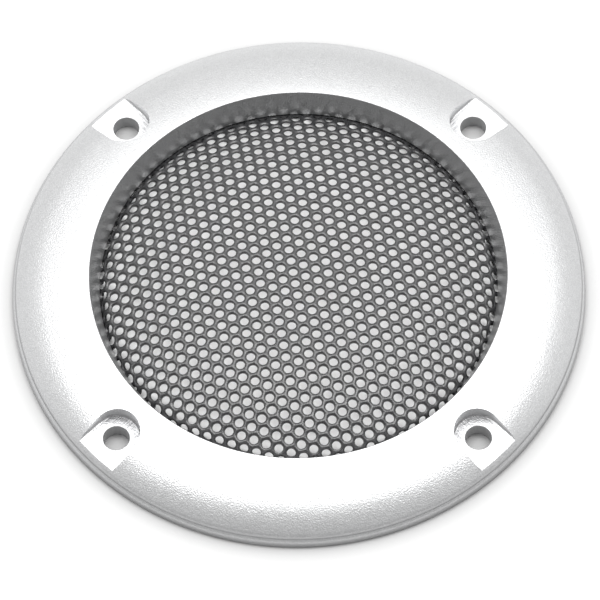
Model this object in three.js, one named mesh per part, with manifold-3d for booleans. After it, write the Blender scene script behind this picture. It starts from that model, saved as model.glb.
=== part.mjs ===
// Round grille cover for a small loudspeaker: a hollow moulded trim ring, a pressed steel mesh dome
// and the stamped ring that clamps the mesh from behind. Millimetres, +Z up. The origin is on the
// ring's axis in the plane of its back face, and the screws stand on the diagonals between X and Y.
import * as THREE from 'three';
import { mergeVertices } from 'three/addons/utils/BufferGeometryUtils.js';
import Module from 'manifold-3d';

const wasm = await Module();
wasm.setup();

// Overall size
const OUTER_RADIUS = 47;
const INNER_EDGE_RADIUS = 34.1;
const RING_HEIGHT = 6.05;
const TURN_STEPS = 72;

// Outside of the trim ring: the crown, a fall of closer curvature, a tight shoulder, all tangent to
// each other, and below the shoulder a rounded lip that runs out to the full radius
const CROWN_CURVATURE_RADIUS = 40;
const CROWN_SLOPE_AT_EDGE = THREE.MathUtils.degToRad(5);
const CROWN_STEPS = 4;
const FALL_CURVATURE_RADIUS = 17;
const FALL_SLOPE_AT_TOP = THREE.MathUtils.degToRad(16);
const FALL_STEPS = 4;
const SHOULDER_CURVATURE_RADIUS = 1.22;
const SHOULDER_SLOPE_AT_TOP = THREE.MathUtils.degToRad(32);
const SHOULDER_SLOPE_AT_FOOT = THREE.MathUtils.degToRad(80);
const SHOULDER_STEPS = 4;
const LIP_TOP = 1.85;
const LIP_SLOPE_AT_TOP = THREE.MathUtils.degToRad(35);
const LIP_STEPS = 4;

// Throat and the seat behind it
const THROAT_FOOT_RADIUS = 32.6;
const SEAT_HEIGHT = 1.5;
const SEAT_RADIUS = 35.1;

// Hollow back
const INNER_WALL_RADIUS = 36.3;
const RIM_WALL = 1.6;
const CROWN_WALL = 1.6;
const CORNER_MARGIN = 0.5;
const WELD_OVERLAP = 0.3;
const RIBS_PER_QUADRANT = 3;
const RIB_SPACING = THREE.MathUtils.degToRad(19);
const RIB_THICKNESS = 1.2;
const RIB_FOOT_HEIGHT = 0.6;

// Screw pockets, on a circle of 82 mm diameter
const SCREW_CIRCLE_RADIUS = 41;
const SCREW_COUNT = 4;
const HOLE_RADIUS = 2.15;
const HOLE_STEPS = 32;
const POCKET_RADIUS = 4;
const POCKET_FLOOR = 2.95;
const POCKET_STEPS = 20;
const BOSS_WALL = 1.4;

// Mesh dome: its height falls with the square and the fourth power of the radius, then the sheet
// bends down into a short skirt and out again into the flange
const DOME_APEX = 6;
const DOME_SQUARE_FALL = 0.00145;
const DOME_FOURTH_FALL = 2e-6;
const DOME_EDGE_RADIUS = 31.2;
const DOME_STEPS = 8;
const BEND_CORNER = new THREE.Vector2(32.2, 2.35);
const BEND_STEPS = 3;
const SKIRT_FOOT_RADIUS = 32.5;
const SHEET_THICKNESS = 0.5;
const FLANGE_RADIUS = 34.85;

// Clamp ring and the tabs that hold it
const CLEARANCE = 0.1;
const CLAMP_INNER_RADIUS = 32.9;
const CLAMP_THICKNESS = 0.45;
const TAB_COUNT = 8;
const TAB_WIDTH = 4;
const TAB_THICKNESS = 0.25;
const TAB_REACH = 34.3;

const FLANGE_TOP = SEAT_HEIGHT - CLEARANCE;
const CLAMP_TOP = FLANGE_TOP - SHEET_THICKNESS - CLEARANCE;
const RIB_START = INNER_WALL_RADIUS - WELD_OVERLAP;
const ABOVE_RING = RING_HEIGHT + 2;
const BELOW_RING = -1;
const PAST_RIM = OUTER_RADIUS + 3;

// A profile that starts and ends on the axis, turned round Z.
const turnedDisc = (points) => new THREE.LatheGeometry(points, TURN_STEPS).rotateX(Math.PI / 2);

// A profile that stays clear of the axis, closed on itself and turned round Z.
const turnedRing = (points) => turnedDisc([...points, points[0].clone()]);

const prism = (outline, bottom, top) => new THREE.ExtrudeGeometry(outline, {
  depth: top - bottom,
  bevelEnabled: false,
  curveSegments: POCKET_STEPS,
}).translate(0, 0, bottom);

const signedVolume = (geometry) => {
  const place = geometry.getAttribute('position');
  const corners = geometry.getIndex().array;
  const [a, b, c] = [new THREE.Vector3(), new THREE.Vector3(), new THREE.Vector3()];
  let volume = 0;
  for (let i = 0; i < corners.length; i += 3) {
    a.fromBufferAttribute(place, corners[i]);
    b.fromBufferAttribute(place, corners[i + 1]);
    c.fromBufferAttribute(place, corners[i + 2]);
    volume += a.dot(b.cross(c)) / 6;
  }
  return volume;
};

const welded = (geometry) => {
  const bare = geometry.clone();
  bare.deleteAttribute('normal');
  bare.deleteAttribute('uv');
  const merged = mergeVertices(bare, 1e-5);
  const corners = Array.from(merged.getIndex().array);
  const facesOut = signedVolume(merged) > 0;
  const kept = [];
  for (let i = 0; i < corners.length; i += 3) {
    const [a, b, c] = corners.slice(i, i + 3);
    if (a !== b && b !== c && c !== a) {
      kept.push(...(facesOut ? [a, b, c] : [a, c, b]));
    }
  }
  merged.setIndex(kept);
  return merged;
};

const toSolid = (geometry) => {
  const merged = welded(geometry);
  return new wasm.Manifold(new wasm.Mesh({
    numProp: 3,
    vertProperties: new Float32Array(merged.getAttribute('position').array),
    triVerts: new Uint32Array(merged.getIndex().array),
  }));
};

const toGeometry = (solid) => {
  const mesh = solid.getMesh();
  const geometry = new THREE.BufferGeometry();
  geometry.setAttribute('position', new THREE.BufferAttribute(mesh.vertProperties, 3));
  geometry.setIndex(new THREE.BufferAttribute(mesh.triVerts, 1));
  geometry.computeVertexNormals();
  return geometry;
};

const joined = (solids) => solids.reduce((whole, solid) => whole.add(solid));

// An arc that falls outwards, from a point where it has the first slope to where it has the last.
// A depth larger than zero gives the same arc that far below the surface.
const fallingArc = (start, radius, slopes, steps, depth = 0) => {
  const centre = new THREE.Vector2(
    start.x - radius * Math.sin(slopes[0]),
    start.y - radius * Math.cos(slopes[0]),
  );
  return Array.from({ length: steps + 1 }, (_, step) => {
    const slope = THREE.MathUtils.lerp(slopes[0], slopes[1], step / steps);
    return new THREE.Vector2(
      centre.x + (radius - depth) * Math.sin(slope),
      centre.y + (radius - depth) * Math.cos(slope),
    );
  });
};

// Crown and fall together, or the same curve a given depth below them.
const crownCurve = (depth = 0) => {
  const edge = new THREE.Vector2(INNER_EDGE_RADIUS, RING_HEIGHT);
  const crownSlopes = [CROWN_SLOPE_AT_EDGE, FALL_SLOPE_AT_TOP];
  const fallSlopes = [FALL_SLOPE_AT_TOP, SHOULDER_SLOPE_AT_TOP];
  const crownEnd = fallingArc(edge, CROWN_CURVATURE_RADIUS, crownSlopes, 1)[1];
  return [
    ...fallingArc(edge, CROWN_CURVATURE_RADIUS, crownSlopes, CROWN_STEPS, depth),
    ...fallingArc(crownEnd, FALL_CURVATURE_RADIUS, fallSlopes, FALL_STEPS, depth).slice(1),
  ];
};

const shoulderArc = (start) => fallingArc(
  start,
  SHOULDER_CURVATURE_RADIUS,
  [SHOULDER_SLOPE_AT_TOP, SHOULDER_SLOPE_AT_FOOT],
  SHOULDER_STEPS,
).slice(1);

// Lip: an arc that starts under the shoulder's foot and ends upright at the full radius.
const lipArc = (start) => fallingArc(
  start,
  (OUTER_RADIUS - start.x) / (1 - Math.sin(LIP_SLOPE_AT_TOP)),
  [LIP_SLOPE_AT_TOP, Math.PI / 2],
  LIP_STEPS,
);

const envelopeProfile = () => {
  const crown = crownCurve();
  const shoulder = shoulderArc(crown[crown.length - 1]);
  const foot = shoulder[shoulder.length - 1];
  return [
    new THREE.Vector2(SEAT_RADIUS, 0),
    new THREE.Vector2(SEAT_RADIUS, SEAT_HEIGHT),
    new THREE.Vector2(THROAT_FOOT_RADIUS, SEAT_HEIGHT),
    ...crown,
    ...shoulder,
    ...lipArc(new THREE.Vector2(foot.x, LIP_TOP)),
    new THREE.Vector2(OUTER_RADIUS, 0),
  ];
};

const channelProfile = () => {
  const rimInner = OUTER_RADIUS - RIM_WALL;
  const roof = crownCurve(CROWN_WALL)
    .filter((point) => point.x > INNER_WALL_RADIUS + CORNER_MARGIN && point.x < rimInner - CORNER_MARGIN);
  const first = roof[0];
  const last = roof[roof.length - 1];
  return [
    new THREE.Vector2(INNER_WALL_RADIUS, BELOW_RING),
    new THREE.Vector2(INNER_WALL_RADIUS, first.y),
    ...roof,
    new THREE.Vector2(rimInner, last.y - (rimInner - last.x)),
    new THREE.Vector2(rimInner, BELOW_RING),
  ];
};

// Pocket: a half circle round the screw's centre that runs straight out past the rim.
const pocketOutline = () => {
  const outline = new THREE.Shape();
  outline.moveTo(PAST_RIM, -POCKET_RADIUS);
  outline.lineTo(PAST_RIM, POCKET_RADIUS);
  outline.lineTo(SCREW_CIRCLE_RADIUS, POCKET_RADIUS);
  outline.absarc(SCREW_CIRCLE_RADIUS, 0, POCKET_RADIUS, Math.PI / 2, Math.PI * 1.5, false);
  outline.closePath();
  return outline;
};

const barOutline = (inner, outer, width) => {
  const outline = new THREE.Shape();
  outline.moveTo(inner, -width / 2);
  outline.lineTo(outer, -width / 2);
  outline.lineTo(outer, width / 2);
  outline.lineTo(inner, width / 2);
  outline.closePath();
  return outline;
};

const screwAngles = () => Array.from(
  { length: SCREW_COUNT },
  (_, i) => (i + 0.5) * (2 * Math.PI / SCREW_COUNT),
);

const ribAngles = () => {
  const middle = (RIBS_PER_QUADRANT - 1) / 2;
  return Array.from({ length: SCREW_COUNT * RIBS_PER_QUADRANT }, (_, i) => {
    const quadrant = Math.floor(i / RIBS_PER_QUADRANT) * (2 * Math.PI / SCREW_COUNT);
    return quadrant + ((i % RIBS_PER_QUADRANT) - middle) * RIB_SPACING;
  });
};

const around = (geometry, angles) => joined(
  angles.map((angle) => toSolid(geometry.clone().rotateZ(angle))),
);

const trimRing = () => {
  const envelope = toSolid(turnedRing(envelopeProfile()));
  const channel = toSolid(turnedRing(channelProfile()));
  const bosses = around(
    prism(barOutline(RIB_START, PAST_RIM, 2 * (POCKET_RADIUS + BOSS_WALL)), BELOW_RING, ABOVE_RING),
    screwAngles(),
  );
  const ribs = around(
    prism(barOutline(RIB_START, PAST_RIM, RIB_THICKNESS), RIB_FOOT_HEIGHT, ABOVE_RING),
    ribAngles(),
  );
  const pockets = around(
    prism(pocketOutline(), POCKET_FLOOR, ABOVE_RING),
    screwAngles(),
  );
  const holes = around(
    new THREE.CylinderGeometry(HOLE_RADIUS, HOLE_RADIUS, ABOVE_RING - BELOW_RING, HOLE_STEPS)
      .rotateX(Math.PI / 2)
      .translate(SCREW_CIRCLE_RADIUS, 0, (ABOVE_RING + BELOW_RING) / 2),
    screwAngles(),
  );
  const tabs = around(
    prism(barOutline(TAB_REACH, RIB_START, TAB_WIDTH), 0, TAB_THICKNESS),
    Array.from({ length: TAB_COUNT }, (_, i) => i * (2 * Math.PI / TAB_COUNT)),
  );
  const filling = bosses.add(ribs).intersect(envelope);
  const body = envelope.subtract(channel).add(filling).add(tabs);
  return toGeometry(body.subtract(pockets).subtract(holes));
};

const domeHeight = (radius) => DOME_APEX
  - DOME_SQUARE_FALL * radius ** 2
  - DOME_FOURTH_FALL * radius ** 4;

// Dome, then a curved bend down to the flange, then the flange's outer edge.
const meshTopLine = () => {
  const dome = Array.from({ length: DOME_STEPS + 1 }, (_, i) => {
    const radius = DOME_EDGE_RADIUS * (i / DOME_STEPS);
    return new THREE.Vector2(radius, domeHeight(radius));
  });
  const edge = dome[dome.length - 1];
  const foot = new THREE.Vector2(SKIRT_FOOT_RADIUS, FLANGE_TOP);
  const bend = new THREE.QuadraticBezierCurve(edge, BEND_CORNER, foot)
    .getPoints(BEND_STEPS)
    .slice(1);
  return [...dome, ...bend, new THREE.Vector2(FLANGE_RADIUS, FLANGE_TOP)];
};

// The same line moved by the sheet's thickness, square to the sheet at every point.
const sheetUnderside = (line) => line.map((point, i) => {
  const before = line[Math.max(i - 1, 0)];
  const after = line[Math.min(i + 1, line.length - 1)];
  const along = after.clone().sub(before).normalize();
  const isEnd = i === 0 || i === line.length - 1;
  const inward = isEnd ? new THREE.Vector2(0, -1) : new THREE.Vector2(along.y, -along.x);
  const moved = point.clone().addScaledVector(inward, SHEET_THICKNESS);
  moved.y = Math.max(moved.y, FLANGE_TOP - SHEET_THICKNESS);
  return moved;
});

const grilleMesh = () => {
  const top = meshTopLine();
  const under = sheetUnderside(top);
  return welded(turnedDisc([...top, ...under.reverse()]));
};

const retainingRing = () => welded(turnedRing([
  new THREE.Vector2(CLAMP_INNER_RADIUS, CLAMP_TOP - CLAMP_THICKNESS),
  new THREE.Vector2(CLAMP_INNER_RADIUS, CLAMP_TOP),
  new THREE.Vector2(FLANGE_RADIUS, CLAMP_TOP),
  new THREE.Vector2(FLANGE_RADIUS, CLAMP_TOP - CLAMP_THICKNESS),
]));

const piece = (name, geometry, color, roughness, metalness) => {
  const material = new THREE.MeshStandardMaterial({ color, roughness, metalness });
  const mesh = new THREE.Mesh(geometry, material);
  mesh.name = name;
  return mesh;
};

const grilleCover = new THREE.Group();
grilleCover.add(
  piece('trim_ring', trimRing(), '#c4c6c8', 0.42, 0.6),
  piece('grille_mesh', grilleMesh(), '#2b2c2e', 0.38, 0.2),
  piece('retaining_ring', retainingRing(), '#3a3b3d', 0.5, 0.4),
);

export default grilleCover;
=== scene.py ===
"""Round grille cover for a small car loudspeaker, dressed for a studio picture.

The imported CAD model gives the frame: the trim ring, the mesh dome and the retaining ring.
Each is made again here as a finely shaped piece of the same size and place.
"""

from __future__ import annotations

import logging
import math
from collections.abc import Callable, Iterable, Sequence
from dataclasses import dataclass, field
from enum import Enum

import bmesh
import bpy
from mathutils import Matrix, Quaternion, Vector


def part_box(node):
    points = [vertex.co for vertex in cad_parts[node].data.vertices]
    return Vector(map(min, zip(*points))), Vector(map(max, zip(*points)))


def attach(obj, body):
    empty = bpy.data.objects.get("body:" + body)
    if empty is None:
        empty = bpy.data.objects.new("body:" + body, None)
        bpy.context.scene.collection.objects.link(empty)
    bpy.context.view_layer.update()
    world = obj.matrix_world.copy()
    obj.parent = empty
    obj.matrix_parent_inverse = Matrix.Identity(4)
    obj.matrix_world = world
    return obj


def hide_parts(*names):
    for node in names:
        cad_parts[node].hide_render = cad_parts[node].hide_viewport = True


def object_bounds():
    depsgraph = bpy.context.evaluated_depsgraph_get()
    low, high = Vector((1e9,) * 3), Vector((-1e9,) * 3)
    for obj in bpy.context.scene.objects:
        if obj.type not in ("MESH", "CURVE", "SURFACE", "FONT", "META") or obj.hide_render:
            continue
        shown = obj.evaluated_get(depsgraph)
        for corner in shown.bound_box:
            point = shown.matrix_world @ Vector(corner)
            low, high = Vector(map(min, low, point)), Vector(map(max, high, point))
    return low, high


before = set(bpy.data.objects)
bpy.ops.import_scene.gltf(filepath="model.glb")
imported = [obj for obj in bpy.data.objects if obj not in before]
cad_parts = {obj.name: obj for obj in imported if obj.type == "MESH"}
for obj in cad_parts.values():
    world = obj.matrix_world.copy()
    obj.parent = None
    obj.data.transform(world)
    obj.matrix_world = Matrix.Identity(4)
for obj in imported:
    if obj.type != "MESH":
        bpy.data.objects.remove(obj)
CAD_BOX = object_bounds()

MM = 0.001
FULL_TURN = 2 * math.pi
DOUBLE = 0.001 * MM  # points nearer than this are one point
BODY = "root"

log = logging.getLogger("grille_cover")


class Operation(Enum):
    """What a boolean does with its cutter."""

    CUT = "DIFFERENCE"
    JOIN = "UNION"


class Rounded(Enum):
    """What a bevel rounds."""

    CORNERS = "VERTICES"
    EDGES = "EDGES"


class Slot(Enum):
    """The pieces' material slots."""

    SILVER_PAINT = "silver_paint"
    BLACK_MESH = "black_mesh"
    BLACK_STEEL = "black_steel"


# ---------------------------------------------------------------- mesh tools


def flat(radius: float, height: float, side: float = 0.0) -> Vector:
    """A point of a profile, given in millimetres, in metres."""
    return Vector((radius, side, height)) * MM


def falling_arc(
    start: Vector, radius: float, slopes: tuple[float, float], steps: int, depth: float = 0.0
) -> list[Vector]:
    """Follows an arc of a profile that falls outwards, or the arc a given depth below it.

    Args:
        start: Where the arc has the first slope, in metres.
        radius: The arc's radius, in millimetres.
        slopes: The first and last slope, in degrees below the horizontal.
        steps: How many edges make the arc.
        depth: How far below the surface, in millimetres.

    Returns:
        The arc's points, in metres.
    """
    first, last = (math.radians(slope) for slope in slopes)
    centre = start - flat(radius * math.sin(first), radius * math.cos(first))
    angles = [first + (last - first) * step / steps for step in range(steps + 1)]
    reach = radius - depth
    return [centre + flat(reach * math.sin(angle), reach * math.cos(angle)) for angle in angles]


def edges_of(geometry: Iterable[object]) -> list[bmesh.types.BMEdge]:
    """The edges among an operator's results."""
    return [item for item in geometry if isinstance(item, bmesh.types.BMEdge)]


def verts_of(geometry: Iterable[object]) -> list[bmesh.types.BMVert]:
    """The vertices among an operator's results."""
    return [item for item in geometry if isinstance(item, bmesh.types.BMVert)]


def profile_face(shape: bmesh.types.BMesh, points: Sequence[Vector]) -> bmesh.types.BMFace:
    """Draws a closed profile as one flat face in the plane y = 0.

    Args:
        shape: The mesh that the profile is drawn in.
        points: The profile's corners in order.

    Returns:
        The new face.
    """
    corners = [shape.verts.new(point) for point in points]
    return shape.faces.new(corners)


def bevel(
    shape: bmesh.types.BMesh,
    parts: Sequence[object],
    rounded: Rounded,
    reach: float,
    segments: int,
    clamp: bool = False,
) -> None:
    """Rounds some corners of a flat outline, or some edges of a solid.

    Args:
        shape: The mesh that holds them.
        parts: The corners or the edges.
        rounded: Which of the two they are.
        reach: How far from them the round starts, in millimetres.
        segments: How many edges or strips make the round.
        clamp: Whether a round is held back where it would meet its neighbour.
    """
    bmesh.ops.bevel(
        shape,
        geom=list(parts),
        affect=rounded.value,
        offset=reach * MM,
        offset_type="OFFSET",
        segments=segments,
        profile=0.5,
        material=-1,
        clamp_overlap=clamp,
    )


def round_corner(shape: bmesh.types.BMesh, place: Vector, reach: float, segments: int = 3) -> None:
    """Rounds the corner of a flat profile that lies nearest to a place.

    Args:
        shape: The mesh that holds the profile.
        place: Where the corner is, in metres.
        reach: How far from the corner the round starts, in millimetres.
        segments: How many edges make the round.
    """
    corner = min(shape.verts, key=lambda vert: (vert.co - place).length)
    bevel(shape, [corner], Rounded.CORNERS, reach, segments)


def turn_profile(shape: bmesh.types.BMesh, steps: int) -> None:
    """Spins the profile in a mesh once round Z into a closed ring.

    Args:
        shape: The mesh that holds one flat profile and nothing else.
        steps: How many steps make the turn.
    """
    bmesh.ops.delete(shape, geom=list(shape.faces), context="FACES_ONLY")
    bmesh.ops.spin(
        shape,
        geom=[*shape.verts, *shape.edges],
        cent=(0, 0, 0),
        axis=(0, 0, 1),
        angle=FULL_TURN,
        steps=steps,
        use_merge=True,
    )
    bmesh.ops.remove_doubles(shape, verts=list(shape.verts), dist=DOUBLE / 2)
    bmesh.ops.recalc_face_normals(shape, faces=list(shape.faces))


def repeat_round(shape: bmesh.types.BMesh, angles: Sequence[float]) -> None:
    """Replaces what a mesh holds by one copy of it at each angle round Z.

    Args:
        shape: The mesh that holds the first copy, which stands at angle 0.
        angles: Where the copies go, in radians.
    """
    first = [*shape.verts, *shape.edges, *shape.faces]
    for angle in angles:
        copy = bmesh.ops.duplicate(shape, geom=first)
        bmesh.ops.rotate(
            shape, verts=verts_of(copy["geom"]), cent=(0, 0, 0), matrix=Matrix.Rotation(angle, 3, "Z")
        )
    bmesh.ops.delete(shape, geom=verts_of(first))


def to_object(name: str, shape: bmesh.types.BMesh) -> bpy.types.Object:
    """Turns a bmesh into an object at the origin and frees the bmesh.

    Args:
        name: The object's name.
        shape: The finished mesh.

    Returns:
        The new object, in the scene.
    """
    mesh = bpy.data.meshes.new(name)
    shape.to_mesh(mesh)
    shape.free()
    made = bpy.data.objects.new(name, mesh)
    bpy.context.scene.collection.objects.link(made)
    return made


def combine(body: bpy.types.Object, tool: bpy.types.Object, operation: Operation) -> None:
    """Cuts or joins one closed object with another, which is used up.

    Args:
        body: The object that changes.
        tool: The object that it is cut or joined with.
        operation: Which of the two.
    """
    modifier = body.modifiers.new("combine", "BOOLEAN")
    modifier.solver = "EXACT"
    modifier.operation = operation.value
    modifier.object = tool
    bake_modifiers(body)
    bpy.data.objects.remove(tool)
    reshape(body, weld)


def weld(shape: bmesh.types.BMesh) -> None:
    """Merges the near doubles that a boolean leaves, and the slivers between them."""
    bmesh.ops.remove_doubles(shape, verts=list(shape.verts), dist=DOUBLE)
    bmesh.ops.dissolve_degenerate(shape, edges=list(shape.edges), dist=DOUBLE)


def bake_modifiers(body: bpy.types.Object) -> None:
    """Makes the result of an object's modifiers its own mesh.

    Args:
        body: The object, which has no modifiers afterwards.
    """
    depsgraph = bpy.context.evaluated_depsgraph_get()
    finished = bpy.data.meshes.new_from_object(body.evaluated_get(depsgraph))
    body.modifiers.clear()
    body.data = finished


def reshape(body: bpy.types.Object, change: Callable[[bmesh.types.BMesh], None]) -> None:
    """Runs one change on an object's mesh.

    Args:
        body: The object whose mesh changes.
        change: What is done to it.
    """
    shape = bmesh.new()
    shape.from_mesh(body.data)
    change(shape)
    shape.to_mesh(body.data)
    shape.free()


def smooth(body: bpy.types.Object, sharp_angle: float, face_weight: int = 60) -> None:
    """Shades an object smoothly, with its large faces keeping flat and its sharp edges crisp.

    Args:
        body: The finished piece.
        sharp_angle: Edges that turn by more than this stay sharp, in degrees.
        face_weight: How much the large faces count, from 1 to 100.
    """
    body.data.shade_smooth()
    body.data.set_sharp_from_angle(angle=math.radians(sharp_angle))
    weighted = body.modifiers.new("weighted_normals", "WEIGHTED_NORMAL")
    weighted.keep_sharp = True
    weighted.weight = face_weight


# ---------------------------------------------------------------- finishes


class Graph:
    """A material's node tree, with short calls for adding and joining nodes."""

    def __init__(self, name: str) -> None:
        """Starts an empty material with a principled shader.

        Args:
            name: The material's name.
        """
        self.material = bpy.data.materials.new(name)
        self.material.use_nodes = True
        self.nodes = self.material.node_tree.nodes
        self.links = self.material.node_tree.links
        self.nodes.clear()
        output = self.nodes.new("ShaderNodeOutputMaterial")
        self.shader = self.nodes.new("ShaderNodeBsdfPrincipled")
        self.links.new(self.shader.outputs["BSDF"], output.inputs["Surface"])

    def add(self, kind: str, **settings: object) -> bpy.types.Node:
        """Adds a node and sets its properties and sockets.

        Args:
            kind: The node's type without the ShaderNode in front.
            **settings: Properties by name, or sockets by name with underscores for spaces. A
                socket's value may be another node's output.

        Returns:
            The new node.
        """
        node = self.nodes.new(f"ShaderNode{kind}")
        for name, value in settings.items():
            if hasattr(node, name):
                setattr(node, name, value)
            else:
                self.feed(node, name.replace("_", " "), value)
        return node

    def feed(self, node: bpy.types.Node, socket: str | int, value: object) -> None:
        """Links an output to a node's socket, or sets the socket to a value.

        Args:
            node: The node that is fed.
            socket: The socket's name or number.
            value: An output socket, a number, a vector or a colour.
        """
        if isinstance(value, bpy.types.NodeSocket):
            self.links.new(value, node.inputs[socket])
        else:
            node.inputs[socket].default_value = value

    def math(self, operation: str, *values: object) -> bpy.types.NodeSocket:
        """Works out a sum, product or the like.

        Args:
            operation: The math node's operation.
            *values: Numbers or output sockets, in order.

        Returns:
            The result's socket.
        """
        node = self.nodes.new("ShaderNodeMath")
        node.operation = operation
        for place, value in enumerate(values):
            self.feed(node, place, value)
        return node.outputs[0]

    def ramp(self, value: object, low: float, high: float, to_low: float, to_high: float) -> object:
        """Maps a value from one range to another, held at both ends.

        Args:
            value: The socket that is mapped.
            low: The value that gives to_low.
            high: The value that gives to_high.
            to_low: The first end of the result.
            to_high: The second end of the result.

        Returns:
            The result's socket.
        """
        node = self.nodes.new("ShaderNodeMapRange")
        node.clamp = True
        for place, given in enumerate((value, low, high, to_low, to_high)):
            self.feed(node, place, given)
        return node.outputs[0]

    def blend(self, share: object, first: object, second: object) -> bpy.types.NodeSocket:
        """Mixes two colours.

        Args:
            share: How much of the second colour, from 0 to 1.
            first: A colour or a socket.
            second: A colour or a socket.

        Returns:
            The mixed colour's socket.
        """
        node = self.nodes.new("ShaderNodeMix")
        node.data_type = "RGBA"
        self.feed(node, 0, share)
        self.feed(node, 6, first)
        self.feed(node, 7, second)
        return node.outputs[2]

    def millimetres(self) -> bpy.types.NodeSocket:
        """Gives the piece's own coordinates in millimetres.

        Returns:
            The coordinates' socket.
        """
        place = self.nodes.new("ShaderNodeTexCoord")
        scaled = self.nodes.new("ShaderNodeMapping")
        scaled.inputs["Scale"].default_value = (1 / MM,) * 3
        self.links.new(place.outputs["Object"], scaled.inputs["Vector"])
        return scaled.outputs["Vector"]

    def length(self, vector: bpy.types.NodeSocket) -> bpy.types.NodeSocket:
        """Measures a vector.

        Args:
            vector: The vector's socket.

        Returns:
            The length's socket.
        """
        node = self.add("VectorMath", operation="LENGTH")
        self.feed(node, 0, vector)
        return node.outputs["Value"]

    def split(self, vector: bpy.types.NodeSocket) -> tuple[bpy.types.NodeSocket, ...]:
        """The X, Y and Z of a vector."""
        return tuple(self.add("SeparateXYZ", Vector=vector).outputs)

    def from_axis(self, across: bpy.types.NodeSocket, along: bpy.types.NodeSocket) -> bpy.types.NodeSocket:
        """The distance from an upright axis, given X and Y measured from it."""
        return self.length(self.add("CombineXYZ", X=across, Y=along).outputs["Vector"])

    def bump(self, height: object, depth: float, normal: object = None) -> bpy.types.NodeSocket:
        """Turns a height from 0 to 1 into relief.

        Args:
            height: The height's socket.
            depth: What a height of 1 stands for, in millimetres.
            normal: Relief that this adds to, if any.

        Returns:
            The normal's socket.
        """
        node = self.nodes.new("ShaderNodeBump")
        node.inputs["Distance"].default_value = depth * MM
        self.feed(node, "Height", height)
        if normal is not None:
            self.feed(node, "Normal", normal)
        return node.outputs["Normal"]


def rgb(red: float, green: float, blue: float) -> tuple[float, float, float, float]:
    """A colour with full alpha."""
    return (red, green, blue, 1.0)


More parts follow.
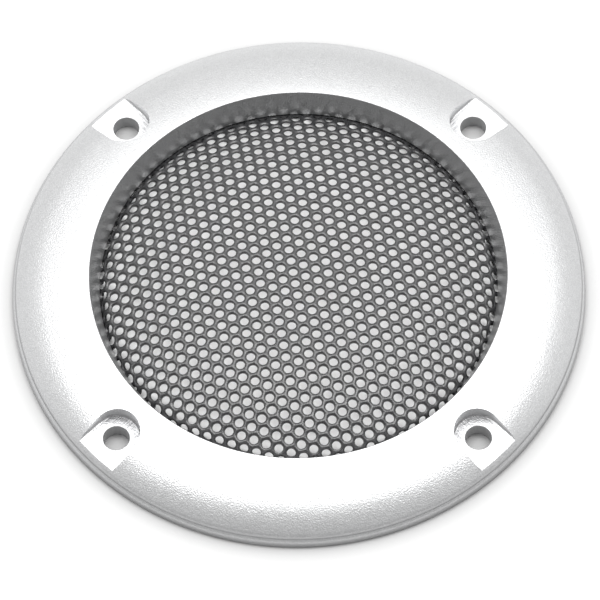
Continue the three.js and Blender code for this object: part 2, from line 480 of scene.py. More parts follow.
@dataclass(frozen=True)
class SilverPaint:
    """Satin silver paint, sprayed from the front on a grey moulding. Sizes in millimetres."""

    colour: tuple[float, float, float, float] = rgb(0.41, 0.412, 0.415)
    shade: tuple[float, float, float, float] = rgb(0.33, 0.332, 0.335)
    # Painted light: a lighter colour on the pocket walls, standing for light bounced off the pocket floors.
    painted_bounce_light: tuple[float, float, float, float] = rgb(0.7, 0.702, 0.71)
    # Painted shade: a darker colour on the steep outer shoulder, standing for shade near the rim.
    painted_shoulder_shade: tuple[float, float, float, float] = rgb(0.27, 0.271, 0.274)
    # Dark hatching on the pocket floors, heaviest next to the pocket wall, where it is also painted shade.
    hatch_and_wall_shade: tuple[float, float, float, float] = rgb(0.14, 0.14, 0.144)
    # The moulding's own grey on the back; on the screw holes' walls the same grey stands as painted shade.
    bare_and_hole_shade: tuple[float, float, float, float] = rgb(0.3, 0.302, 0.305)
    roughness: float = 0.32
    roughness_spread: float = 0.03
    metallic: float = 0.85
    grain: float = 0.22
    grain_depth: float = 0.045
    grain_share: float = 0.8
    clump_scale: float = 0.9
    clump_depth: float = 0.006
    noise_band: tuple[float, float] = (0.3, 0.7)
    even_height: float = 0.5
    pocket_radii: tuple[float, float] = (36.5, 45.8)
    shoulder_blend: float = 0.4
    steep_band: tuple[float, float] = (0.7, 0.25)
    lip_top: float = 1.85
    hole_offset: float = 28.99
    hole_radius: float = 2.25
    hole_wall_band: tuple[float, float] = (0.8, 0.5)
    back_band: tuple[float, float] = (-0.2, -0.6)
    pocket_radius: float = 3.95
    mark_reach: tuple[float, float] = (2.3, 3.0)
    mark_scale: float = 4.5
    mark_fade: tuple[float, float] = (0.2, -2.2)
    mark_band: tuple[float, float] = (0.42, 0.58)
    mark_depth: tuple[float, float] = (0.15, 0.95)
    mark_by_hole: float = 0.4

    def build(self) -> bpy.types.Material:
        """Makes the material.

        Returns:
            The new material.
        """
        graph = Graph("silver_paint")
        place = graph.millimetres()
        grain = graph.add("TexNoise", Vector=place, Scale=1 / self.grain, Detail=1.0, Roughness=0.5)
        clumps = graph.add("TexNoise", Vector=place, Scale=self.clump_scale, Detail=3.0, Roughness=0.6)
        tone = graph.math(
            "ADD",
            graph.ramp(grain.outputs[0], *self.noise_band, 0.0, self.grain_share),
            graph.ramp(clumps.outputs[0], *self.noise_band, 0.0, 1 - self.grain_share),
        )
        paint = graph.blend(tone, self.shade, self.colour)
        pocket, shoulder = self.painted_light_and_shade_on_walls(graph, place)
        # Painted light and shade: lighter pocket walls and a darker steep outer shoulder.
        paint = graph.blend(shoulder, graph.blend(pocket, paint, self.painted_bounce_light), self.painted_shoulder_shade)
        distance, marks = self.round_screws(graph, place)
        # Dark hatching, heaviest against the pocket wall, where it is also painted shade.
        paint = graph.blend(marks, paint, self.hatch_and_wall_shade)
        # The moulding's own grey on the back, and painted shade on the screw holes' walls.
        bare_and_hole_shade = self.unpainted_and_hole_shade(graph, distance)
        graph.feed(graph.shader, "Base Color", graph.blend(bare_and_hole_shade, paint, self.bare_and_hole_shade))
        graph.feed(graph.shader, "Metallic", graph.ramp(bare_and_hole_shade, 0.0, 1.0, self.metallic, 0.0))
        low, high = self.roughness - self.roughness_spread, self.roughness + self.roughness_spread
        graph.feed(graph.shader, "Roughness", graph.ramp(grain.outputs[0], *self.noise_band, low, high))
        height = graph.blend(bare_and_hole_shade, grain.outputs[0], rgb(*[self.even_height] * 3))
        relief = graph.bump(clumps.outputs[0], self.clump_depth, graph.bump(height, self.grain_depth))
        graph.feed(graph.shader, "Normal", relief)
        return graph.material

    def facing(self, graph: Graph) -> bpy.types.NodeSocket:
        """How squarely the surface faces along the ring's axis: 1 to the front, -1 to the back."""
        return graph.split(graph.nodes.new("ShaderNodeTexCoord").outputs["Normal"])[2]

    def painted_light_and_shade_on_walls(
        self, graph: Graph, place: bpy.types.NodeSocket
    ) -> tuple[bpy.types.NodeSocket, bpy.types.NodeSocket]:
        """Where painted light and shade go: lighter on the pockets' walls, standing for light bounced off
        the pocket floors, and darker on the steep outer shoulder, as painted shade.

        Args:
            graph: The material's graph.
            place: Coordinates in millimetres.

        Returns:
            The share of painted bounce light and the share of painted shoulder shade, from 0 to 1.
        """
        x, y, z = graph.split(place)
        radius = graph.from_axis(x, y)
        inner, outer = self.pocket_radii
        beyond = graph.math("GREATER_THAN", radius, inner)
        outside = graph.ramp(radius, outer, outer + self.shoulder_blend, 0.0, 1.0)
        above = graph.math("GREATER_THAN", z, self.lip_top)
        steep = graph.ramp(self.facing(graph), *self.steep_band, 0.0, 1.0)
        painted_bounce_light = graph.math("MULTIPLY", graph.math("SUBTRACT", beyond, outside), steep)
        return painted_bounce_light, graph.math("MULTIPLY", graph.math("MULTIPLY", outside, above), steep)

    def round_screws(
        self, graph: Graph, place: bpy.types.NodeSocket
    ) -> tuple[bpy.types.NodeSocket, bpy.types.NodeSocket]:
        """Measures from the nearest screw's middle, and draws dark hatched marks inwards of each screw,
        heaviest next to the pocket wall, where they also stand as painted shade of the wall.

        Args:
            graph: The material's graph.
            place: Coordinates in millimetres.

        Returns:
            The distance from the screw's axis, and the share of dark hatching with its painted wall shade,
            from 0 to 1.
        """
        mirrored = graph.add("VectorMath", operation="ABSOLUTE")
        graph.feed(mirrored, 0, place)
        x, y, _ = graph.split(mirrored.outputs["Vector"])
        across = graph.math("SUBTRACT", x, self.hole_offset)
        along = graph.math("SUBTRACT", y, self.hole_offset)
        distance = graph.from_axis(across, along)
        lines = graph.add("TexNoise", noise_dimensions="1D", Scale=self.mark_scale, Detail=1.0)
        graph.feed(lines, "W", graph.math("SUBTRACT", across, along))
        inward = graph.ramp(graph.math("ADD", across, along), *self.mark_fade, 0.0, 1.0)
        band = graph.math(
            "MULTIPLY",
            graph.ramp(distance, *self.mark_reach, self.mark_by_hole, 1.0),
            graph.math("LESS_THAN", distance, self.pocket_radius),
        )
        marks = graph.ramp(lines.outputs[0], *self.mark_band, *self.mark_depth)
        return distance, graph.math("MULTIPLY", graph.math("MULTIPLY", marks, inward), band)

    def unpainted_and_hole_shade(self, graph: Graph, distance: bpy.types.NodeSocket) -> bpy.types.NodeSocket:
        """Where the moulding's own grey shows on the back, but for some overspray, and where the same grey
        lies on the screw holes' walls as painted shade.

        Args:
            graph: The material's graph.
            distance: The distance from the nearest screw's axis, in millimetres.

        Returns:
            0 for paint to 1 for the moulding's grey or the holes' painted shade.
        """
        hole = graph.math("LESS_THAN", distance, self.hole_radius)
        facing = self.facing(graph)
        upright = graph.ramp(graph.math("ABSOLUTE", facing), *self.hole_wall_band, 0.0, 1.0)
        back = graph.ramp(facing, *self.back_band, 0.0, 1.0)
        return graph.math("MAXIMUM", graph.math("MULTIPLY", hole, upright), back)


@dataclass(frozen=True)
class Noise:
    """One cloudy texture: how fine it is, and how much finer detail lies on top."""

    scale: float
    detail: float
    fineness: float = 0.5

    def add(self, graph: Graph) -> bpy.types.NodeSocket:
        """Puts the texture into a graph, on the piece's own coordinates in millimetres.

        Args:
            graph: The material's graph.

        Returns:
            The texture's socket, about 0.5 with most values between 0.3 and 0.7.
        """
        settings = {"Scale": self.scale, "Detail": self.detail, "Roughness": self.fineness}
        return graph.add("TexNoise", Vector=graph.millimetres(), **settings).outputs[0]


@dataclass(frozen=True)
class BlackPaint:
    """Black paint on steel, with some dust or wear in it, an uneven sheen and a fine relief."""

    name: str
    colour: tuple[float, float, float, float]
    worn: tuple[float, float, float, float]
    wear: Noise
    wear_band: tuple[float, float]
    sheen: Noise
    sheen_band: tuple[float, float]
    roughness: tuple[float, float]
    relief: Noise
    relief_depth: float

    def build(self) -> bpy.types.Material:
        """Makes the material.

        Returns:
            The new material.
        """
        graph = Graph(self.name)
        worn = graph.ramp(self.wear.add(graph), *self.wear_band, 0.0, 1.0)
        graph.feed(graph.shader, "Base Color", graph.blend(worn, self.colour, self.worn))
        sheen = graph.ramp(self.sheen.add(graph), *self.sheen_band, *self.roughness)
        graph.feed(graph.shader, "Roughness", sheen)
        graph.feed(graph.shader, "Normal", graph.bump(self.relief.add(graph), self.relief_depth))
        return graph.material


BAKED_ENAMEL = BlackPaint(
    name="black_mesh",
    colour=rgb(0.009, 0.009, 0.01),
    worn=rgb(0.05, 0.05, 0.052),
    wear=Noise(9.0, 2.0),
    wear_band=(0.58, 0.75),
    sheen=Noise(3.0, 3.0, 0.55),
    sheen_band=(0.3, 0.7),
    roughness=(0.17, 0.3),
    relief=Noise(3.0, 3.0, 0.55),
    relief_depth=0.03,
)

SATIN_ENAMEL = BlackPaint(
    name="black_steel",
    colour=rgb(0.02, 0.02, 0.022),
    worn=rgb(0.09, 0.09, 0.095),
    wear=Noise(1.2, 5.0, 0.65),
    wear_band=(0.55, 0.72),
    sheen=Noise(1.2, 5.0, 0.65),
    sheen_band=(0.35, 0.7),
    roughness=(0.45, 0.6),
    relief=Noise(8.0, 2.0),
    relief_depth=0.01,
)


# ---------------------------------------------------------------- pieces


class Piece:
    """What every finished piece of the cover has in common."""

    node: str
    slot: Slot

    def place(self, body: bpy.types.Object, material: bpy.types.Material) -> bpy.types.Object:
        """Gives a finished piece its material, ties it to its body and hides its CAD node.

        Args:
            body: The finished object.
            material: Its material.

        Returns:
            The same object.
        """
        body.data.materials.clear()
        body.data.materials.append(material)
        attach(body, BODY)
        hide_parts(self.node)
        log.info("%s: %d faces", body.name, len(body.data.polygons))
        return body


@dataclass
class TrimRing(Piece):
    """The moulded ring: rim, crown, throat, screw pockets and ribbed back.

    Sizes are in millimetres. Slopes, the ribs' spacing and the corner angles are in degrees.
    """

    node: str = "trim_ring"
    slot: Slot = Slot.SILVER_PAINT
    inner_edge_radius: float = 34.1
    lip_top: float = 1.85
    lip_slope: float = 35.0
    lip_steps: int = 8
    crown_slopes: tuple[float, float] = (5.0, 16.0)
    crown_curvature: float = 40.0
    crown_steps: int = 10
    fall_slope: float = 32.0
    fall_curvature: float = 17.0
    fall_steps: int = 12
    shoulder_slope: float = 80.0
    shoulder_curvature: float = 1.22
    shoulder_steps: int = 10
    crown_edge_round: float = 0.16
    throat_foot_radius: float = 32.6
    throat_foot_round: float = 0.12
    rim_foot_round: float = 0.15
    seat_height: float = 1.5
    seat_radius: float = 35.1
    inner_wall_radius: float = 36.3
    wall: float = 1.6
    hollow_margin: float = 0.5
    hollow_round: float = 0.5
    hollow_fillet: float = 0.25
    hollow_corner: float = 40.0
    rib_foot_height: float = 0.6
    rib_thickness: float = 1.2
    rib_spacing: float = 19.0
    ribs_per_quadrant: int = 3
    screw_circle_radius: float = 41.0
    screw_count: int = 4
    hole_radius: float = 2.15
    hole_chamfer: float = 0.06
    hole_overshoot: float = 0.35
    hole_steps: int = 48
    pocket_radius: float = 4.0
    pocket_floor: float = 2.95
    pocket_fillet: float = 0.3
    pocket_steps: int = 24
    boss_wall: float = 1.4
    tab_count: int = 8
    tab_width: float = 4.0
    tab_thickness: float = 0.25
    tab_reach: float = 34.3
    tab_root: float = 36.0
    tab_corner: float = 0.6
    turn_steps: int = 288
    sharp_angle: float = 40.0
    past: float = 2.0
    outer_radius: float = field(init=False)
    height: float = field(init=False)

    def __post_init__(self) -> None:
        """Reads the outer size from the frame."""
        low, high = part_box(self.node)
        self.outer_radius = (high.x - low.x) / 2 / MM
        self.height = high.z / MM

    @property
    def quadrant(self) -> float:
        """The angle from one screw to the next, in radians."""
        return FULL_TURN / self.screw_count

    def crown(self, depth: float = 0.0) -> list[Vector]:
        """The crown's two arcs, or the arcs a given depth below them.

        Args:
            depth: How far below the surface, in millimetres.

        Returns:
            Points from the throat's edge to the shoulder, in metres.
        """
        edge = flat(self.inner_edge_radius, self.height)
        slopes = (self.crown_slopes[1], self.fall_slope)
        end = falling_arc(edge, self.crown_curvature, self.crown_slopes, self.crown_steps)[-1]
        return [
            *falling_arc(edge, self.crown_curvature, self.crown_slopes, self.crown_steps, depth),
            *falling_arc(end, self.fall_curvature, slopes, self.fall_steps, depth)[1:],
        ]

    def envelope(self) -> bpy.types.Object:
        """Turns the ring as a full solid, without pockets, holes and the hollow back.

        Returns:
            The solid.
        """
        shape = bmesh.new()
        crown = self.crown()
        slopes = (self.fall_slope, self.shoulder_slope)
        shoulder = falling_arc(crown[-1], self.shoulder_curvature, slopes, self.shoulder_steps)
        lip_reach = self.outer_radius - shoulder[-1].x / MM
        lip_radius = lip_reach / (1 - math.sin(math.radians(self.lip_slope)))
        lip_start = flat(shoulder[-1].x / MM, self.lip_top)
        lip = falling_arc(lip_start, lip_radius, (self.lip_slope, 90.0), self.lip_steps)
        rim_foot = flat(self.outer_radius, 0)
        throat_foot = flat(self.throat_foot_radius, self.seat_height)
        profile_face(
            shape,
            [
                flat(self.seat_radius, 0),
                flat(self.seat_radius, self.seat_height),
                throat_foot,
                *crown,
                *shoulder[1:],
                *lip,
                rim_foot,
            ],
        )
        round_corner(shape, crown[0], self.crown_edge_round, 4)
        round_corner(shape, throat_foot, self.throat_foot_round, 2)
        round_corner(shape, rim_foot, self.rim_foot_round, 2)
        turn_profile(shape, self.turn_steps)
        return to_object("trim_ring_shell", shape)

    def pockets(self) -> bpy.types.Object:
        """Makes the space of the four screw pockets: flat floors, upright walls, open outwards.

        Returns:
            The space as one object.
        """
        shape = bmesh.new()
        bmesh.ops.create_grid(shape, x_segments=1, y_segments=1, size=1.0)
        start, end = self.screw_circle_radius - self.pocket_radius, self.outer_radius + self.past
        for vert in shape.verts:
            side = math.copysign(self.pocket_radius, vert.co.y)
            vert.co = flat(end if vert.co.x > 0 else start, self.pocket_floor, side)
        inner = [vert for vert in shape.verts if vert.co.x < self.screw_circle_radius * MM]
        bevel(shape, inner, Rounded.CORNERS, self.pocket_radius, self.pocket_steps)
        bmesh.ops.remove_doubles(shape, verts=list(shape.verts), dist=DOUBLE)
        raised = bmesh.ops.extrude_face_region(shape, geom=list(shape.faces))
        rise = Vector((0, 0, (self.height + self.past - self.pocket_floor) * MM))
        bmesh.ops.translate(shape, verts=verts_of(raised["geom"]), vec=rise)
        bmesh.ops.recalc_face_normals(shape, faces=list(shape.faces))
        floor_edges = [
            edge
            for edge in shape.edges
            if all(abs(vert.co.z - self.pocket_floor * MM) < DOUBLE / 10 for vert in edge.verts)
        ]
        bevel(shape, floor_edges, Rounded.EDGES, self.pocket_fillet, 4)
        repeat_round(shape, self.screw_angles())
        return to_object("pocket_space", shape)

    def screw_angles(self) -> list[float]:
        """Where the screws stand, in radians from +X."""
        return [(index + 0.5) * self.quadrant for index in range(self.screw_count)]

    def holes(self) -> bpy.types.Object:
        """Makes the space of the four screw holes, with a small chamfer at each mouth.

        Returns:
            The space as one object.
        """
        shape = bmesh.new()
        chamfer, over = self.hole_chamfer, self.hole_overshoot
        profile_face(
            shape,
            [
                flat(0, -over),
                flat(self.hole_radius + chamfer + over, -over),
                flat(self.hole_radius, chamfer),
                flat(self.hole_radius, self.pocket_floor - chamfer),
                flat(self.hole_radius + chamfer + over, self.pocket_floor + over),
                flat(0, self.pocket_floor + over),
            ],
        )
        turn_profile(shape, self.hole_steps)
        bmesh.ops.translate(shape, verts=list(shape.verts), vec=flat(self.screw_circle_radius, 0))
        repeat_round(shape, self.screw_angles())
        return to_object("hole_space", shape)

    def hollow(self) -> bpy.types.Object:
        """Makes the space behind the crown, from boss to boss, with the ribs left out of it.

        Returns:
            The space of all four quadrants as one object.
        """
        shape = bmesh.new()
        rim_inner = self.outer_radius - self.wall
        first, last = self.inner_wall_radius + self.hollow_margin, rim_inner - self.hollow_margin
        roof = [point for point in self.crown(self.wall) if first < point.x / MM < last]
        inner_corner = flat(self.inner_wall_radius, roof[0].z / MM)
        outer_corner = flat(rim_inner, roof[-1].z / MM - (rim_inner - roof[-1].x / MM))
        profile_face(
            shape,
            [
                flat(self.inner_wall_radius, -self.past),
                inner_corner,
                *roof,
                outer_corner,
                flat(rim_inner, -self.past),
            ],
        )
        round_corner(shape, inner_corner, self.hollow_round)
        round_corner(shape, outer_corner, self.hollow_round)
        start = -self.quadrant / 2 + FULL_TURN / self.turn_steps / 2
        bmesh.ops.rotate(
            shape, verts=list(shape.verts), cent=(0, 0, 0), matrix=Matrix.Rotation(start, 3, "Z")
        )
        bmesh.ops.spin(
            shape,
            geom=[*shape.verts, *shape.edges, *shape.faces],
            cent=(0, 0, 0),
            axis=(0, 0, 1),
            angle=self.quadrant,
            steps=self.turn_steps // self.screw_count,
        )
        for side in (-1, 1):
            self.trim_at_boss(shape, side)
        bmesh.ops.recalc_face_normals(shape, faces=list(shape.faces))
        space = to_object("hollow_space", shape)
        combine(space, self.ribs(), Operation.CUT)
        reshape(space, self.soften_hollow)
        return space

    def trim_at_boss(self, shape: bmesh.types.BMesh, side: int) -> None:
        """Cuts the hollow's end off along the flat side of a screw boss and closes it.

        Args:
            shape: The mesh of the hollow's space.
            side: 1 for the boss at the positive angle, -1 for the other.
        """
        direction = Matrix.Rotation(side * self.quadrant / 2, 3, "Z") @ Vector((1, 0, 0))
        outward = Vector((-direction.y, direction.x, 0)) * side
        cut = bmesh.ops.bisect_plane(
            shape,
            geom=[*shape.verts, *shape.edges, *shape.faces],
            plane_co=outward * -(self.pocket_radius + self.boss_wall) * MM,
            plane_no=outward,
            clear_outer=True,
        )
        bmesh.ops.holes_fill(shape, edges=edges_of(cut["geom_cut"]))

    def ribs(self) -> bpy.types.Object:
        """Makes the ribs of one quadrant, as plates that stand proud on all sides but the foot.

        Returns:
            The ribs as one object.
        """
        shape = bmesh.new()
        bmesh.ops.create_cube(shape, size=1.0)
        length = self.outer_radius - self.inner_wall_radius + self.past
        rise = self.height + self.past - self.rib_foot_height
        bmesh.ops.scale(shape, verts=list(shape.verts), vec=Vector((length, self.rib_thickness, rise)) * MM)
        middle = flat((self.inner_wall_radius + self.outer_radius) / 2, self.rib_foot_height + rise / 2)
        bmesh.ops.translate(shape, verts=list(shape.verts), vec=middle)
        half = (self.ribs_per_quadrant - 1) / 2
        repeat_round(
            shape,
            [math.radians(self.rib_spacing) * (index - half) for index in range(self.ribs_per_quadrant)],
        )
        return to_object("rib_plates", shape)

    def soften_hollow(self, shape: bmesh.types.BMesh) -> None:
        """Rounds the inner corners of the hollow and repeats it in every quadrant.

        Args:
            shape: The mesh of the hollow's space.
        """
        corners = [
            edge
            for edge in shape.edges
            if len(edge.link_faces) == 2
            and edge.calc_face_angle_signed() > math.radians(self.hollow_corner)
            and min(vert.co.z for vert in edge.verts) > -self.past * MM / 2
        ]
        bevel(shape, corners, Rounded.EDGES, self.hollow_fillet, 2, clamp=True)
        repeat_round(shape, [index * self.quadrant for index in range(self.screw_count)])

    def tabs(self) -> bpy.types.Object:
        """Makes the tabs of the inner wall that are pressed over the retaining ring.

        Returns:
            The tabs as one object.
        """
        shape = bmesh.new()
        bmesh.ops.create_cube(shape, size=1.0)
        size = Vector((self.tab_root - self.tab_reach, self.tab_width, self.tab_thickness)) * MM
        bmesh.ops.scale(shape, verts=list(shape.verts), vec=size)
        middle = flat((self.tab_root + self.tab_reach) / 2, self.tab_thickness / 2)
        bmesh.ops.translate(shape, verts=list(shape.verts), vec=middle)
        upright = [
            edge
            for edge in shape.edges
            if edge.verts[0].co.x < middle.x
            and (edge.verts[0].co - edge.verts[1].co).xy.length < DOUBLE / 10
        ]
        bevel(shape, upright, Rounded.EDGES, self.tab_corner, 4, clamp=True)
        repeat_round(shape, [index * FULL_TURN / self.tab_count for index in range(self.tab_count)])
        return to_object("tab_blocks", shape)

    def build(self) -> bpy.types.Object:
        """Makes the whole ring.

        Returns:
            The finished piece.
        """
        ring = self.envelope()
        combine(ring, self.hollow(), Operation.CUT)
        combine(ring, self.tabs(), Operation.JOIN)
        combine(ring, self.pockets(), Operation.CUT)
        combine(ring, self.holes(), Operation.CUT)
        ring.name = "trim_ring_painted"
        smooth(ring, self.sharp_angle)
        return self.place(ring, SilverPaint().build())


@dataclass
class GrilleMesh(Piece):
    """The perforated dome with its skirt and flange. Sizes in millimetres."""

    node: str = "grille_mesh"
    slot: Slot = Slot.BLACK_MESH
    square_fall: float = 0.00145
    fourth_fall: float = 2e-6
    dome_edge_radius: float = 31.2
    bend_corner: tuple[float, float] = (32.2, 2.35)
    skirt_foot_radius: float = 32.5
    thickness: float = 0.5
    hole_pitch: float = 2.148
    hole_radius: float = 0.73
    hole_sides: int = 18
    lip_width: float = 0.15
    lip_drop: float = 0.06
    lip_depth: float = 0.17
    lattice_turn: float = -20.13
    lattice_shift: tuple[float, float] = (-0.81, -0.135)
    margin: float = 0.15
    softness: float = 0.15
    dome_steps: int = 160
    bend_steps: int = 24
    edge_steps: int = 240
    sharp_angle: float = 50.0
    apex: float = field(init=False)
    flange_radius: float = field(init=False)
    flange_height: float = field(init=False)
    course: list[tuple[float, float, float]] = field(init=False)

    def __post_init__(self) -> None:
        """Reads the size from the frame and works out the sheet's course."""
        low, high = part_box(self.node)
        self.apex = high.z / MM
        self.flange_radius = (high.x - low.x) / 2 / MM
        self.flange_height = low.z / MM + self.thickness
        self.course = self.sheet_course()

    def dome_height(self, radius: float) -> float:
        """The dome's height at a radius."""
        return self.apex - self.square_fall * radius**2 - self.fourth_fall * radius**4

    def sheet_course(self) -> list[tuple[float, float, float]]:
        """Follows the sheet's upper face from the apex to the flange's edge.

        Returns:
            For each point, its distance along the sheet, its radius and its height.
        """
        dome = [self.dome_edge_radius * step / self.dome_steps for step in range(self.dome_steps + 1)]
        line = [Vector((radius, self.dome_height(radius))) for radius in dome]
        start, corner = line[-1].copy(), Vector(self.bend_corner)
        foot = Vector((self.skirt_foot_radius, self.flange_height))
        for step in range(1, self.bend_steps + 1):
            share = step / self.bend_steps
            line.append(start.lerp(corner, share).lerp(corner.lerp(foot, share), share))
        line.append(Vector((self.flange_radius, self.flange_height)))
        course, distance = [(0.0, line[0].x, line[0].y)], 0.0
        for before, after in zip(line, line[1:]):
            distance += (after - before).length
            course.append((distance, after.x, after.y))
        return course

    def on_course(self, distance: float) -> Vector:
        """The sheet's radius and height at a distance along it from the apex.

        Args:
            distance: The distance, in millimetres.

        Returns:
            The radius and the height, in millimetres.
        """
        after = next((i for i, stop in enumerate(self.course) if stop[0] > distance), len(self.course) - 1)
        first, second = self.course[after - 1], self.course[after]
        share = (distance - first[0]) / (second[0] - first[0])
        return Vector(first[1:]).lerp(Vector(second[1:]), share)

    def pressed(self, point: Vector) -> Vector:
        """Where a point of the flat blank goes when the sheet is pressed.

        Args:
            point: A point of the blank, in metres, with its depth in the sheet as height.

        Returns:
            Its place on the finished mesh, in metres.
        """
        distance = math.hypot(point.x, point.y) / MM
        reach = self.softness
        ahead = self.on_course(distance + reach) - self.on_course(max(distance - reach, 0.0))
        square = Vector((-ahead.y, ahead.x)).normalized() * point.z / MM
        place = self.on_course(distance) + square
        place.y = max(place.y, self.flange_height - self.thickness)
        turn = math.atan2(point.y, point.x)
        return flat(place.x * math.cos(turn), place.y, place.x * math.sin(turn))

    def cell(self, shape: bmesh.types.BMesh) -> list[object]:
        """Draws one cell of the pattern: a hexagon on both faces of the sheet, joined by the hole's wall.

        Args:
            shape: The mesh that the cell is drawn in.

        Returns:
            The cell's vertices, edges and faces.
        """
        apothem = self.hole_pitch / 2
        rings = (
            (self.hole_radius + self.lip_width, -self.lip_drop),
            (self.hole_radius, -self.lip_depth),
            (self.hole_radius, -self.thickness),
            (apothem, -self.thickness),
        )
        made = bmesh.ops.create_circle(shape, segments=self.hole_sides, radius=1.0)
        self.set_ring(made["verts"], apothem, 0.0)
        mouth = list(shape.edges)
        for radius, height in rings:
            grown = bmesh.ops.extrude_edge_only(shape, edges=mouth)
            mouth = edges_of(grown["geom"])
            self.set_ring(verts_of(grown["geom"]), radius, height)
        return [*shape.verts, *shape.edges, *shape.faces]

    def set_ring(self, verts: Iterable[bmesh.types.BMVert], radius: float, height: float) -> None:
        """Moves the corners of one ring of a cell to a circle, or to the hexagon round the cell.

        Args:
            verts: The ring's corners, already at their angles round the hole.
            radius: The circle's radius, or half the pitch for the hexagon.
            height: Minus the depth below the sheet's upper face.
        """
        sixth = math.pi / 3
        for vert in verts:
            angle = math.atan2(vert.co.y, vert.co.x)
            reach = radius
            if radius == self.hole_pitch / 2:
                reach /= math.cos((angle + sixth / 2) % sixth - sixth / 2)
            vert.co = flat(reach * math.cos(angle), height, reach * math.sin(angle))

    def centres(self) -> list[Vector]:
        """Lays out the holes on the flat blank.

        Returns:
            The middle of each hole, in metres.
        """
        turn = Matrix.Rotation(math.radians(self.lattice_turn), 3, "Z")
        along = turn @ Vector((self.hole_pitch, 0, 0))
        across = turn @ Vector((self.hole_pitch / 2, self.hole_pitch * math.sqrt(3) / 2, 0))
        shift = Vector((*self.lattice_shift, 0))
        limit = self.course[-1][0] - self.margin - self.hole_pitch / math.sqrt(3)
        reach = int(limit / (self.hole_pitch * math.cos(math.pi / 6))) + 2
        spots = [
            shift + along * column + across * row
            for row in range(-reach, reach + 1)
            for column in range(-reach, reach + 1)
        ]
        return [spot * MM for spot in spots if spot.length < limit]

    def blank(self) -> bmesh.types.BMesh:
        """Lays the cells side by side into the flat perforated disc before pressing.

        Returns:
            The mesh of the disc, still without its margin.
        """
        shape = bmesh.new()
        cell = self.cell(shape)
        bmesh.ops.rotate(
            shape,
            verts=list(shape.verts),
            cent=(0, 0, 0),
            matrix=Matrix.Rotation(math.radians(self.lattice_turn), 3, "Z"),
        )
        for centre in self.centres():
            copy = bmesh.ops.duplicate(shape, geom=cell)
            bmesh.ops.translate(shape, verts=verts_of(copy["geom"]), vec=centre)
        bmesh.ops.delete(shape, geom=verts_of(cell))
        bmesh.ops.remove_doubles(shape, verts=list(shape.verts), dist=10 * DOUBLE)
        return shape

    def close_margin(self, shape: bmesh.types.BMesh) -> None:
        """Fills the plain margin between the pattern and the blank's round edge, on both faces.

        Args:
            shape: The mesh of the perforated disc.
        """
        border = [edge for edge in shape.edges if edge.is_boundary]
        rim = []
        for height in (0.0, -self.thickness * MM):
            inner = [edge for edge in border if abs(edge.verts[0].co.z - height) < DOUBLE / 100]
            ring = bmesh.ops.create_circle(shape, segments=self.edge_steps, radius=self.course[-1][0] * MM)
            bmesh.ops.translate(shape, verts=ring["verts"], vec=(0, 0, height))
            outer = list({edge for vert in ring["verts"] for edge in vert.link_edges})
            bmesh.ops.triangle_fill(
                shape, edges=[*inner, *outer], use_beauty=True, use_dissolve=False, normal=(0, 0, 1)
            )
            rim += outer
        bmesh.ops.bridge_loops(shape, edges=rim)

    def build(self) -> bpy.types.Object:
        """Makes the perforated dome.

        Returns:
            The finished piece.
        """
        shape = self.blank()
        self.close_margin(shape)
        for vert in shape.verts:
            vert.co = self.pressed(vert.co)
        bmesh.ops.recalc_face_normals(shape, faces=list(shape.faces))
        body = to_object("grille_mesh_perforated", shape)
        smooth(body, self.sharp_angle)
        return self.place(body, BAKED_ENAMEL.build())


@dataclass
class RetainingRing(Piece):
    """The stamped ring that clamps the mesh's flange from behind. Sizes in millimetres."""

    node: str = "retaining_ring"
    slot: Slot = Slot.BLACK_STEEL
    inner_radius: float = 32.9
    edge_round: float = 0.12
    turn_steps: int = 240
    sharp_angle: float = 40.0

    def build(self) -> bpy.types.Object:
        """Makes the ring.

        Returns:
            The finished piece.
        """
        low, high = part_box(self.node)
        outer, bottom, top = high.x / MM, low.z / MM, high.z / MM
        shape = bmesh.new()
        corners = [
            flat(self.inner_radius, bottom),
            flat(self.inner_radius, top),
            flat(outer, top),
            flat(outer, bottom),
        ]
        profile_face(shape, corners)
        for corner in corners:
            round_corner(shape, corner, self.edge_round)
        turn_profile(shape, self.turn_steps)
        body = to_object("retaining_ring_stamped", shape)
        smooth(body, self.sharp_angle)
        return self.place(body, SATIN_ENAMEL.build())


# ---------------------------------------------------------------- studio


def direction(azimuth: float, elevation: float) -> Vector:
    """Points from the object to a place round it.

    Args:
        azimuth: 0 is the camera's side, in degrees, growing towards +X.
        elevation: Degrees above the floor.

    Returns:
        The unit vector.
    """
    turn, rise = math.radians(azimuth), math.radians(elevation)
    return Vector((math.sin(turn) * math.cos(rise), -math.cos(turn) * math.cos(rise), math.sin(rise)))


@dataclass(frozen=True)
class Softbox:
    """A soft rectangular lamp that faces the object from behind or above it. Sizes in metres."""

    name: str
    elevation: float
    size: tuple[float, float]
    watts: float
    azimuth: float = 180.0
    distance: float = 0.9

    def hang(self) -> None:
        """Adds the lamp to the scene."""
        data = bpy.data.lights.new(self.name, "AREA")
        data.shape = "RECTANGLE"
        data.size, data.size_y = self.size
        data.energy = self.watts
        lamp = bpy.data.objects.new(self.name, data)
        bpy.context.scene.collection.objects.link(lamp)
        towards = direction(self.azimuth, self.elevation)
        lamp.location = towards * self.distance
        lamp.rotation_mode = "QUATERNION"
        lamp.rotation_quaternion = (-towards).to_track_quat("-Z", "Y")


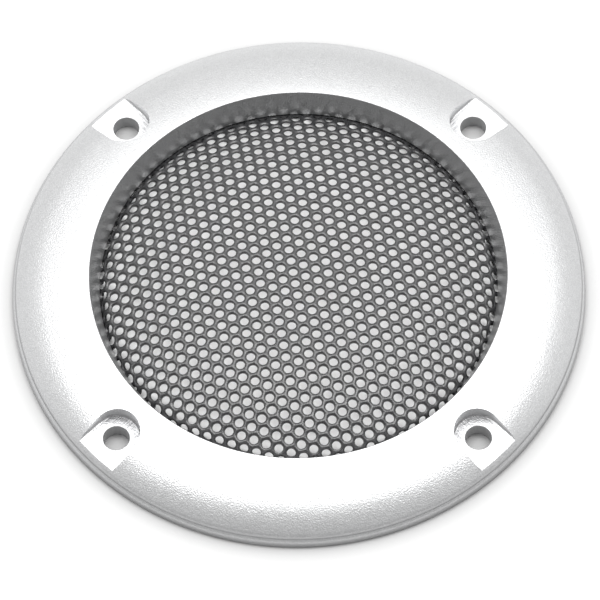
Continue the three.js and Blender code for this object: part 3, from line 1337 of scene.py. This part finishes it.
@dataclass(frozen=True)
class Studio:
    """Floor, light and camera. The floor is in millimetres, the camera's place in metres."""

    floor_radius: float = 1200.0
    floor_steps: int = 96
    floor_drop: float = 0.02
    floor_ends: tuple[tuple[float, float, float, float], ...] = (rgb(0, 0, 0), rgb(0.9, 0.9, 0.9))
    # Painted shadow: the floor's tone at the rim and far from it.
    floor_shadow_tones: tuple[float, float] = (0.41, 1.0)
    floor_roughness: float = 0.8
    floor_gloss: float = 0.1
    shade_reach: float = 18.0
    mesh_radius: float = 36.0
    azimuth: float = 1.99
    elevation: float = 61.2
    roll: float = -1.848
    distance: float = 0.64495
    aim: tuple[float, float, float] = (0.000221, -0.00217, 0.0)
    lens: float = 235.92
    sensor: float = 36.0
    clip: tuple[float, float] = (0.01, 20.0)
    room_fade: tuple[float, float] = (-0.65, 0.15)
    room_light: tuple[float, float] = (0.8, 1.6)
    lamps: tuple[Softbox, ...] = (
        Softbox("overhead", 81.6, (0.9, 0.275), 7.9),
        Softbox("behind", 59.5, (1.1, 0.37), 3.0),
    )

    def camera(self) -> None:
        """Sets up the camera."""
        data = bpy.data.cameras.new("camera")
        data.lens, data.sensor_width = self.lens, self.sensor
        data.clip_start, data.clip_end = self.clip
        camera = bpy.data.objects.new("camera", data)
        bpy.context.scene.collection.objects.link(camera)
        back = direction(self.azimuth, self.elevation)
        camera.location = Vector(self.aim) + back * self.distance
        camera.rotation_mode = "QUATERNION"
        tilt = Quaternion((0, 0, 1), math.radians(self.roll))
        camera.rotation_quaternion = (-back).to_track_quat("-Z", "Y") @ tilt
        bpy.context.scene.camera = camera

    def floor(self) -> None:
        """Lays a pale floor with a painted shadow that darkens it from the mesh's edge to the ring's rim
        and fades softly beyond it.
        """
        shape = bmesh.new()
        bmesh.ops.create_circle(
            shape, cap_ends=True, segments=self.floor_steps, radius=self.floor_radius * MM
        )
        bmesh.ops.translate(shape, verts=list(shape.verts), vec=flat(0, -self.floor_drop))
        floor = to_object("floor", shape)
        graph = Graph("floor")
        distance = graph.length(graph.millimetres())
        rim = CAD_BOX[1].x / MM
        # Painted shadow: the floor is darkened from the mesh's edge to the rim and fades out beyond it;
        # under the mesh it stays pale.
        shaded = graph.ramp(distance, rim, rim + self.shade_reach, *self.floor_shadow_tones)
        unshadowed_under_mesh = graph.math("LESS_THAN", distance, self.mesh_radius)
        tone = graph.blend(graph.math("MAXIMUM", shaded, unshadowed_under_mesh), *self.floor_ends)
        graph.feed(graph.shader, "Base Color", tone)
        graph.feed(graph.shader, "Roughness", self.floor_roughness)
        graph.feed(graph.shader, "Specular IOR Level", self.floor_gloss)
        floor.data.materials.append(graph.material)

    def room(self) -> None:
        """Lights the room: pale walls behind and beside the object, a darker one behind the camera."""
        world = bpy.data.worlds.new("room")
        world.use_nodes = True
        nodes, links = world.node_tree.nodes, world.node_tree.links
        background = nodes["Background"]
        background.inputs["Color"].default_value = rgb(1.0, 1.0, 1.0)
        place = nodes.new("ShaderNodeTexCoord")
        parts = nodes.new("ShaderNodeSeparateXYZ")
        fade = nodes.new("ShaderNodeMapRange")
        fade.interpolation_type = "SMOOTHSTEP"
        links.new(place.outputs["Generated"], parts.inputs[0])
        links.new(parts.outputs["Y"], fade.inputs["Value"])
        links.new(fade.outputs["Result"], background.inputs["Strength"])
        ends = zip(("From Min", "From Max", "To Min", "To Max"), (*self.room_fade, *self.room_light))
        for socket, value in ends:
            fade.inputs[socket].default_value = value
        bpy.context.scene.world = world

    def build(self) -> None:
        """Sets up the studio."""
        bpy.context.scene.view_settings.view_transform = "Standard"
        self.camera()
        self.floor()
        self.room()
        for lamp in self.lamps:
            lamp.hang()


def main() -> None:
    """Builds every piece and the studio."""
    logging.basicConfig(level=logging.INFO, format="%(name)s: %(message)s")
    Studio().build()
    for piece in (TrimRing(), GrilleMesh(), RetainingRing()):
        piece.build()


if __name__ == "__main__":
    main()
